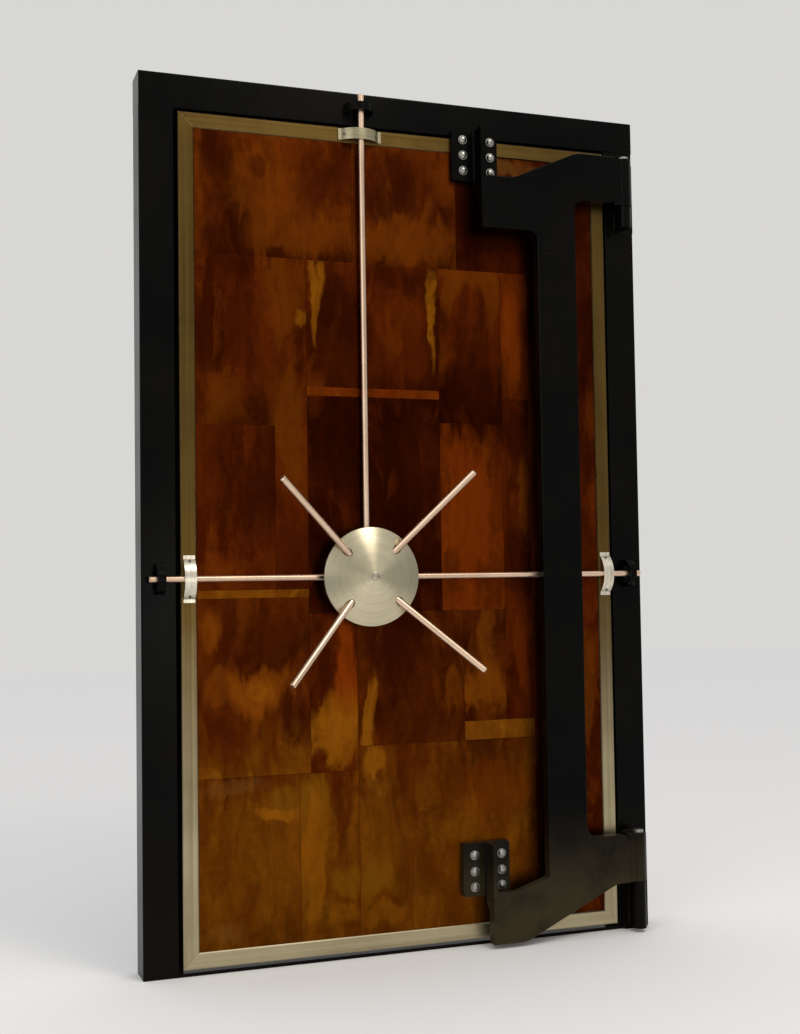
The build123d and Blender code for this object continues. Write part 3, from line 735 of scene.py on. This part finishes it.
# The head's right sheet, which carries the top arm's painted shadow, starts at the shadow's left edge.
MIDDLE_RIGHT, SHADOW_SHEET_EDGE, STRIP_END, EDGE, POST = 0.112, 0.177, 0.180, 0.322, 0.415
SHEETS = {
    "sheet_head_left": (LEFT, SEAM, 2.075, HEAD, "umber"),
    "sheet_head_middle": (SEAM, SHADOW_SHEET_EDGE, 2.075, HEAD, "umber"),
    # This maroon sheet lies where the top arm's shadow falls: its darkness is partly painted shadow.
    "sheet_head_right": (SHADOW_SHEET_EDGE, RIGHT, 2.075, HEAD, "maroon"),
    "sheet_left_high": (LEFT, MIDDLE_LEFT, 1.575, 2.075, "russet", "umber", 1.80, 1.60),
    "sheet_middle_high": (MIDDLE_LEFT, MIDDLE_RIGHT, 1.694, 2.075, "russet"),
    # The narrow strips are bright: partly their own tone, partly a painted highlight for light caught along a
    # sheet's folded edge.
    "strip_middle": (MIDDLE_LEFT, MIDDLE_RIGHT, 1.668, 1.694, "orange"),
    "sheet_right_high": (MIDDLE_RIGHT, EDGE, 1.595, 2.075, "russet", "maroon", 1.84, 1.66),
    "sheet_edge_high": (EDGE, POST, 1.676, 2.075, "orange", "umber", 1.84, 1.66),
    "sheet_left_mid": (LEFT, FLANK, 1.093, 1.575, "russet"),
    "sheet_inner_mid": (FLANK, MIDDLE_LEFT, 1.093, 1.575, "russet", "maroon", 1.35, 1.15),
    "sheet_middle_dark": (MIDDLE_LEFT, MIDDLE_RIGHT, 1.020, 1.668, "maroon"),
    "sheet_right_mid": (MIDDLE_RIGHT, EDGE, 1.020, 1.595, "orange", "maroon", 1.48, 1.62),
    "sheet_edge_mid": (EDGE, POST, 0.680, 1.676, "russet"),
    # A bright strip, partly a painted highlight, as above.
    "strip_left": (LEFT, MIDDLE_LEFT, 1.068, 1.093, "honey"),
    "sheet_left_low": (LEFT, MIDDLE_LEFT, 0.552, 1.068, "umber", "honey", 0.74, 0.52),
    "sheet_flame": (MIDDLE_LEFT, SEAM, 0.552, 1.020, "russet", "umber", 0.74, 0.52),
    "sheet_middle_low": (SEAM, STRIP_END, 0.622, 1.020, "umber"),
    "sheet_right_low": (STRIP_END, EDGE, 0.680, 1.020, "umber"),
    # A bright strip, partly a painted highlight, as above.
    "strip_right": (STRIP_END, POST, 0.622, 0.680, "gold"),
    "sheet_far_right": (POST, RIGHT, FOOT, 2.075, "russet", "maroon", 1.50, 1.90),
    "sheet_foot_left": (LEFT, INNER, FOOT, 0.552, "honey", "umber", 0.38, 0.62),
    "sheet_foot_middle": (INNER, SEAM, FOOT, 0.552, "honey", "umber", 0.40, 0.62),
    "sheet_foot_right": (SEAM, POST, FOOT, 0.622, "honey", "umber", 0.40, 0.70),
}
print(len(SHEETS), "sheets in the layout")

# %% [markdown]
# These are the large blooms of each sheet, under its name without the first word: the middle's x and z,
# half the width, half the height, the colour, how strongly it covers, and for some the taper.

# %% Blooms
BLOOMS = {
    "head_left": [
        (-0.437, 2.29, 0.1, 0.095, HAZE, 0.7), (-0.565, 2.36, 0.048, 0.065, DEEP, 0.6),
        (-0.466, 2.345, 0.026, 0.03, DEEP, 0.65), (-0.24, 2.335, 0.09, 0.085, DEEP, 0.7),
        (-0.32, 2.15, 0.15, 0.055, HAZE, 0.75),
    ],
    "head_middle": [
        (-0.05, 2.32, 0.095, 0.11, DEEP, 0.85, 0.1), (0.13, 2.35, 0.035, 0.085, HAZE, 0.4),
        (-0.01, 2.15, 0.165, 0.062, HAZE, 0.85),
    ],
    # The dark bloom is a painted shadow of the top arm; a paler band runs along the sheet's top.
    "head_right": [(0.3, 2.405, 0.15, 0.028, PALE, 0.35), (0.3, 2.21, 0.12, 0.1, DARKEST, 0.6)],
    "left_high": [
        (-0.373, 1.95, 0.052, 0.12, HAZE, 0.85, 0.3), (-0.329, 1.897, 0.013, 0.024, GOLD, 0.7),
        (-0.511, 1.89, 0.052, 0.155, DEEP, 0.6, -0.2), (-0.551, 1.645, 0.058, 0.07, HAZE, 0.55),
        (-0.362, 1.65, 0.044, 0.1, HAZE, 0.8),
    ],
    "middle_high": [
        (-0.014, 2.04, 0.08, 0.036, DEEP, 0.7), (-0.215, 1.93, 0.05, 0.12, DEEP, 0.75),
        (-0.018, 1.86, 0.085, 0.125, FLAME, 0.3), (-0.15, 1.775, 0.12, 0.07, RUST, 0.5),
        (-0.279, 1.962, 0.021, 0.1, GOLD, 0.95, 0.4), (0.093, 1.924, 0.015, 0.14, GOLD, 0.9, 0.3),
    ],
    "right_high": [
        (0.22, 2.06, 0.105, 0.03, HAZE, 0.75), (0.15, 2.01, 0.03, 0.075, HAZE, 0.85, 0.6),
        (0.29, 1.985, 0.034, 0.095, HAZE, 0.8, 0.6), (0.195, 1.823, 0.036, 0.155, DEEP, 0.75, -0.4),
        (0.26, 1.844, 0.034, 0.175, DEEP, 0.65, -0.3),
    ],
    "edge_high": [(0.362, 1.88, 0.028, 0.15, FLAME, 0.6), (0.4, 1.78, 0.018, 0.17, RUST, 0.75)],
    "left_mid": [(-0.495, 1.39, 0.115, 0.17, DEEP, 0.85), (-0.61, 1.53, 0.045, 0.06, RUST, 0.5)],
    "inner_mid": [(-0.362, 1.52, 0.042, 0.11, HAZE, 0.8, 0.4), (-0.365, 1.2, 0.042, 0.09, RUST, 0.5)],
    "middle_dark": [(-0.206, 1.498, 0.064, 0.145, DARKEST, 0.7, 0.2), (0.03, 1.48, 0.05, 0.16, RUST, 0.3)],
    "right_mid": [
        (0.2, 1.33, 0.08, 0.17, FLAME, 0.5), (0.27, 1.12, 0.05, 0.07, RUST, 0.65),
        (0.14, 1.13, 0.035, 0.08, DEEP, 0.5), (0.297, 1.4, 0.022, 0.14, RUST, 0.6),
    ],
    "edge_mid": [
        (0.39, 1.39, 0.02, 0.11, AMBER, 0.65), (0.356, 1.222, 0.03, 0.055, DEEP, 0.7),
        (0.372, 1.56, 0.036, 0.075, DEEP, 0.55), (0.38, 0.85, 0.022, 0.13, FLAME, 0.5),
    ],
    "left_low": [
        (-0.445, 0.945, 0.15, 0.105, DEEP, 0.62, 0.1), (-0.612, 0.985, 0.028, 0.05, AMBER, 0.6),
        (-0.47, 0.795, 0.075, 0.06, AMBER, 0.85, 0.3), (-0.455, 0.8, 0.03, 0.03, GOLD, 0.45),
        (-0.59, 0.82, 0.04, 0.05, AMBER, 0.45), (-0.479, 0.715, 0.02, 0.05, AMBER, 0.6, 0.4),
        (-0.361, 0.711, 0.038, 0.074, DEEP, 0.8), (-0.54, 0.66, 0.07, 0.06, RUST, 0.5),
    ],
    "flame": [
        (-0.202, 0.88, 0.036, 0.15, FLAME, 0.9, -0.25), (-0.222, 0.72, 0.05, 0.075, GOLD, 0.65, -0.2),
        (-0.24, 0.655, 0.075, 0.075, GOLD, 0.75, 0.1), (-0.285, 0.9, 0.028, 0.11, DEEP, 0.6),
    ],
    "middle_low": [
        (0.035, 0.68, 0.11, 0.08, DEEP, 0.55), (0.148, 0.775, 0.038, 0.065, AMBER, 0.55, -0.2),
        (-0.04, 0.86, 0.085, 0.12, DEEP, 0.95, 0.2), (-0.126, 0.7, 0.021, 0.1, GOLD, 0.85, -0.3),
    ],
    "right_low": [(0.24, 0.785, 0.068, 0.072, AMBER, 0.95, -0.2), (0.262, 0.935, 0.026, 0.085, AMBER, 0.6)],
    "far_right": [(0.53, 2.0, 0.1, 0.06, DEEP, 0.6), (0.6, 0.76, 0.03, 0.16, AMBER, 0.5)],
    "foot_left": [
        (-0.54, 0.528, 0.09, 0.022, PALE, 0.3), (-0.405, 0.444, 0.058, 0.017, GOLD, 0.9),
        (-0.39, 0.49, 0.044, 0.036, OLIVE, 0.75), (-0.569, 0.103, 0.056, 0.024, PALE, 0.3),
    ],
    "foot_middle": [
        (-0.292, 0.48, 0.05, 0.05, OLIVE, 0.9), (-0.306, 0.285, 0.036, 0.16, GOLD, 0.7, 0.45),
        (-0.216, 0.459, 0.034, 0.094, RUST, 0.8, 0.5), (-0.205, 0.235, 0.046, 0.05, OLIVE, 0.85),
        (-0.215, 0.13, 0.045, 0.03, GOLD, 0.45),
    ],
    "foot_right": [
        (-0.108, 0.572, 0.032, 0.042, GOLD, 0.85), (-0.11, 0.225, 0.055, 0.048, OLIVE, 0.85),
        (-0.09, 0.12, 0.07, 0.032, GOLD, 0.45), (0.27, 0.47, 0.11, 0.08, FLAME, 0.3),
        (0.04, 0.5, 0.09, 0.1, RUST, 0.55),
    ],
}
print(sum(len(rows) for rows in BLOOMS.values()), "blooms")

# %% [markdown]
# A plate is a box whose front edges are bevelled, so its rim catches light. Every small piece of this
# script is grown in the same way: a bmesh is filled, its faces are turned outward, and the new object
# rides on the body that carries it.

# %% Lay the sheets
JOINT, SHEET_EDGE, PATTERN_STEP = 0.0005, 0.0005, 0.6


def grow_object(name, build, material, body):
    mesh = bpy.data.meshes.new(name)
    shape = bmesh.new()
    build(shape)
    bmesh.ops.recalc_face_normals(shape, faces=shape.faces)
    shape.to_mesh(mesh)
    shape.free()
    mesh.materials.append(material)
    piece = bpy.data.objects.new(name, mesh)
    scene.collection.objects.link(piece)
    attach(piece, body)
    return piece


def plate_shape(shape, left, right, low, high, front, back, edge):
    corners = [(left, low), (right, low), (right, high), (left, high)]
    front_ring = [shape.verts.new((x, front, z)) for x, z in corners]
    back_ring = [shape.verts.new((x, back, z)) for x, z in corners]
    front_face = shape.faces.new(front_ring)
    shape.faces.new(back_ring)
    for index in range(4):
        after = (index + 1) % 4
        shape.faces.new((front_ring[index], front_ring[after], back_ring[after], back_ring[index]))
    bmesh.ops.bevel(shape, geom=list(front_face.edges), offset=edge, segments=2, profile=0.6, affect="EDGES")


for order, (name, (left, right, low, high, tone, *fade)) in enumerate(SHEETS.items()):
    offset = (0.0, PATTERN_STEP * (order % 3), 0.0)
    skin = copper_sheet("copper_" + name, tone, offset, BLOOMS.get(name.removeprefix("sheet_"), ()), fade)
    gap = JOINT / 2

    def build(shape):
        sides = (left + gap, right - gap, low + gap, high - gap)
        plate_shape(shape, *sides, clad_low.y, clad_high.y, SHEET_EDGE)

    sheet = grow_object(name, build, skin, "door")
    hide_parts("cladding")
print("copper sheets laid")

# %% [markdown]
# Bolts, screws and the crown cap are turned shapes, so each is a profile spun about its own axis. A
# profile is a list of radius and height. A hexagon socket is a ring whose radius grows towards six
# corners, so a screw's socket needs no cutting.

# %% Spun shapes
def hexagon_stretch(angle):
    return 1 / math.cos((angle + math.pi / 6) % (math.pi / 3) - math.pi / 6)


def spun_shape(shape, profile, place, way=(0, -1, 0), steps=24):
    out = Vector(way).normalized()
    side = out.orthogonal().normalized()
    other = out.cross(side)
    rings = []
    for radius, height, *kind in profile:
        middle = Vector(place) + out * height
        if radius == 0:
            rings.append([shape.verts.new(middle)])
            continue
        ring = []
        for step in range(steps):
            angle = 2 * math.pi * step / steps
            reach = radius * hexagon_stretch(angle) if kind else radius
            across = middle + side * reach * math.cos(angle)
            ring.append(shape.verts.new(across + other * reach * math.sin(angle)))
        rings.append(ring)
    for inner, outer in zip(rings, rings[1:]):
        for step in range(steps):
            after = (step + 1) % steps
            if len(outer) == 1:
                shape.faces.new((inner[step], inner[after], outer[0]))
            elif len(inner) == 1:
                shape.faces.new((inner[0], outer[after], outer[step]))
            else:
                shape.faces.new((inner[step], inner[after], outer[after], outer[step]))


def domed(radius, rise, foot, points=6):
    curve = []
    for index in range(points + 1):
        angle = math.pi / 2 * index / points
        curve.append((radius * math.cos(angle) if index < points else 0, foot + rise * math.sin(angle)))
    return curve


# %% [markdown]
# Twelve domed bolts hold the two brackets, two columns of three on each. A bolt stands on a washer with
# a small chamfer, and its head has a short straight skirt under the dome.

# %% Bracket bolts
BOLT_RADIUS, BOLT_HIGH, SKIRT = 0.0118, 0.0080, 0.0015
WASHER_RADIUS, WASHER_THICK, LIP = 0.0142, 0.0020, 0.0004


def bolt_shape(shape, place):
    washer = [(0, 0), (WASHER_RADIUS, 0), (WASHER_RADIUS, WASHER_THICK - LIP)]
    washer.append((WASHER_RADIUS - LIP, WASHER_THICK))
    skirt = [(BOLT_RADIUS, WASHER_THICK), (BOLT_RADIUS, WASHER_THICK + SKIRT)]
    head = domed(BOLT_RADIUS, BOLT_HIGH - SKIRT, WASHER_THICK + SKIRT)
    spun_shape(shape, washer + skirt + head[1:], place)


COLUMNS = {"bottom": (0.197, 0.286), "top": (0.197, 0.2885)}
ROWS = {"bottom": (0.2755, 0.2264, 0.180), "top": (2.482, 2.4335, 2.385)}
LEAF_FACE, FLANGE_THICK = -0.051, 0.024
FLANGE_FACE = LEAF_FACE - FLANGE_THICK
for end in ENDS:
    for side, x in zip(("left", "right"), COLUMNS[end]):
        for row, z in enumerate(ROWS[end], 1):
            build = lambda shape: bolt_shape(shape, (x, FLANGE_FACE, z))
            grow_object(f"bolt_{end}_{side}_{row}", build, BOLT_STEEL, "door")
print("12 bolts set")

# %% [markdown]
# The guides and keepers are bowed blocks, each held by two button-head screws that sit square to the
# slope of the bow. The bow is part of a circle through its two feet and its crown, so the slope at a
# screw follows from the circle's middle. The screw goes in a little, so it is seated all round.

# %% Screws in the guides and keepers
GUIDE_HALF, GUIDE_SCREW = 0.061, 0.051
KEEPER_HALF, KEEPER_SCREW = 0.043, 0.0345
GUIDE_SCREW_RADIUS, KEEPER_SCREW_RADIUS, SCREW_HIGH, SCREW_IN = 0.0042, 0.0036, 0.0028, 0.0012


def screw_shape(shape, place, way, radius):
    rim = [(radius, 0.35 * SCREW_HIGH), (0.86 * radius, 0.75 * SCREW_HIGH)]
    skirt = [(0, -SCREW_IN), (radius, -SCREW_IN)] + rim
    crown = [(0.62 * radius, SCREW_HIGH), (0.48 * radius, SCREW_HIGH, "hexagon")]
    socket = [(0.45 * radius, 0.35 * SCREW_HIGH, "hexagon"), (0, 0.30 * SCREW_HIGH)]
    spun_shape(shape, skirt + crown + socket, place, way)


def bow_at(half, rise, along):
    radius = (half * half + rise * rise) / (2 * rise)
    height = math.sqrt(radius * radius - along * along)
    return height - (radius - rise), along / radius, height / radius


def set_screws(node, half, along, radius, body, material, slot):
    low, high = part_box(node)
    middle = (low + high) / 2
    upright = high.z - low.z > high.x - low.x
    out, lean, straight = bow_at(half, high.y - low.y, along)
    for sign, end in ((1, "a"), (-1, "b")):
        run = Vector((0, 0, sign)) if upright else Vector((sign, 0, 0))
        place = Vector((middle.x, high.y - out, middle.z)) + run * along
        way = run * lean + Vector((0, -straight, 0))
        build = lambda shape: screw_shape(shape, place, way, radius)
        grow_object(f"{node}_screw_{end}", build, material, body)


GUIDE_SET = (GUIDE_HALF, GUIDE_SCREW, GUIDE_SCREW_RADIUS, "door", SCREW_STEEL, "machined_steel")
KEEPER_SET = (KEEPER_HALF, KEEPER_SCREW, KEEPER_SCREW_RADIUS, "frame", ENAMEL, "black_paint")
for side in ("left", "right", "top"):
    set_screws("guide_" + side, *GUIDE_SET)
    set_screws("keeper_" + side, *KEEPER_SET)
print("12 screws set")

# %% [markdown]
# A small turned cap closes the dome's crown, on the spindle's axis.

# %% Crown cap
CAP_RADIUS, CAP_HIGH, CAP_IN, CAP_SKIRT = 0.0125, 0.0042, 0.0004, 0.0016
CAP_LIP, CAP_STEP = 0.0006, 0.0020
cap_place = (hub_place.x, dome_low.y, hub_place.z)
cap_profile = [(0, -CAP_IN), (CAP_RADIUS, -CAP_IN), (CAP_RADIUS, CAP_SKIRT)]
cap_profile += domed(CAP_RADIUS - CAP_LIP, CAP_HIGH - CAP_STEP, CAP_STEP)
build = lambda shape: spun_shape(shape, cap_profile, cap_place, steps=40)
grow_object("crown_cap", build, CROWN_STEEL, "wheel")
print("cap", round(2000 * CAP_RADIUS), "mm across")

# %% [markdown]
# The hinge was welded and then painted, so its welds show only as soft ripples under the enamel. A bead
# fills the corner between two faces: its section is a fan of points from one face round to the other,
# and that section swells and shrinks along the run, once for each pause of the welder's hand.

# %% Weld beads
RIPPLE, BEAD_STEP, BEAD_IN = 0.0034, 0.00085, 0.0004


def bead_shape(shape, start, end, first_side, second_side, leg, fan=5):
    start, end = Vector(start), Vector(end)
    first_side, second_side = Vector(first_side), Vector(second_side)
    length = (end - start).length
    along = (end - start) / length
    count = max(4, round(length / BEAD_STEP))
    rings = []
    for index in range(count + 1):
        travel = length * index / count
        near_end = min(travel, length - travel) / leg
        taper = math.sqrt(max(0.0, 1 - (1 - min(1.0, near_end)) ** 2)) * 0.8 + 0.2
        swell = leg * taper * (0.90 + 0.10 * abs(math.sin(math.pi * travel / RIPPLE)))
        middle = start + along * travel
        ring = [shape.verts.new(middle - (first_side + second_side) * BEAD_IN)]
        for point in range(fan + 1):
            angle = math.pi / 2 * point / fan
            bulge = 0.80 + 0.20 * abs(math.cos(2 * angle))
            way = first_side * math.cos(angle) + second_side * math.sin(angle)
            ring.append(shape.verts.new(middle + way * swell * bulge))
        rings.append(ring)
    size = len(rings[0])
    for before, after in zip(rings, rings[1:]):
        for point in range(size):
            following = (point + 1) % size
            shape.faces.new((before[point], before[following], after[following], after[point]))
    shape.faces.new(rings[0])
    shape.faces.new(rings[-1])


TOWARDS_ROOM, EAST, WEST, UP, DOWN = (0, -1, 0), (1, 0, 0), (-1, 0, 0), (0, 0, 1), (0, 0, -1)


def weld(name, start, end, side, leg, body):
    build = lambda shape: bead_shape(shape, start, end, side, TOWARDS_ROOM, leg)
    grow_object(name, build, ENAMEL, body)


# %% [markdown]
# Beads run up both sides of each post's web and of each bracket's rib, along each knuckle's lug, and
# along the free edges of the two hinge plates.

# %% Lay the welds
AXIS_X, WEB_HALF = 0.745, 0.013
FRAME_FACE, PLATE_FACE = -0.051, -0.061
WEBS = {"west": AXIS_X - WEB_HALF, "east": AXIS_X + WEB_HALF}
RIBS = {"west": 0.235, "east": 0.249}
SIDES = {"west": WEST, "east": EAST}
POST_LEG, RIB_LEG, LUG_LEG, PLATE_LEG = 0.0055, 0.0050, 0.0065, 0.0050
POST_FOOT, POST_HEAD, RIB_FOOT, RIB_HEAD, LUG_INSET, PLATE_INSET = 0.003, 0.008, 0.158, 0.002, 0.004, 0.010
ARM_END, LUG_FACE = 0.700, -0.117
for end in ENDS:
    post, rib, lug = [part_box(kind + end) for kind in ("hinge_post_", "bracket_", "knuckle_")]
    low, high = post[0].z + POST_FOOT, post[1].z - POST_HEAD
    for side, x in WEBS.items():
        run = (x, PLATE_FACE, low), (x, PLATE_FACE, high)
        weld(f"weld_post_{end}_{side}", *run, SIDES[side], POST_LEG, "frame")
    low, high = rib[1].z - RIB_FOOT, rib[1].z - RIB_HEAD
    for side, x in RIBS.items():
        run = (x, FLANGE_FACE, low), (x, FLANGE_FACE, high)
        weld(f"weld_rib_{end}_{side}", *run, SIDES[side], RIB_LEG, "door")
    run = (ARM_END, LUG_FACE, lug[0].z + LUG_INSET), (ARM_END, LUG_FACE, lug[1].z - LUG_INSET)
    weld(f"weld_lug_{end}", *run, EAST, LUG_LEG, "door")

for plate, edge, away in (("bottom", "head", UP), ("top", "head", UP), ("top", "foot", DOWN)):
    low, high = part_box("hinge_plate_" + plate)
    z = high.z if edge == "head" else low.z
    run = (low.x + PLATE_INSET, FRAME_FACE, z), (high.x - PLATE_INSET, FRAME_FACE, z)
    weld(f"weld_plate_{plate}_{edge}", *run, away, PLATE_LEG, "frame")
print("welds laid")
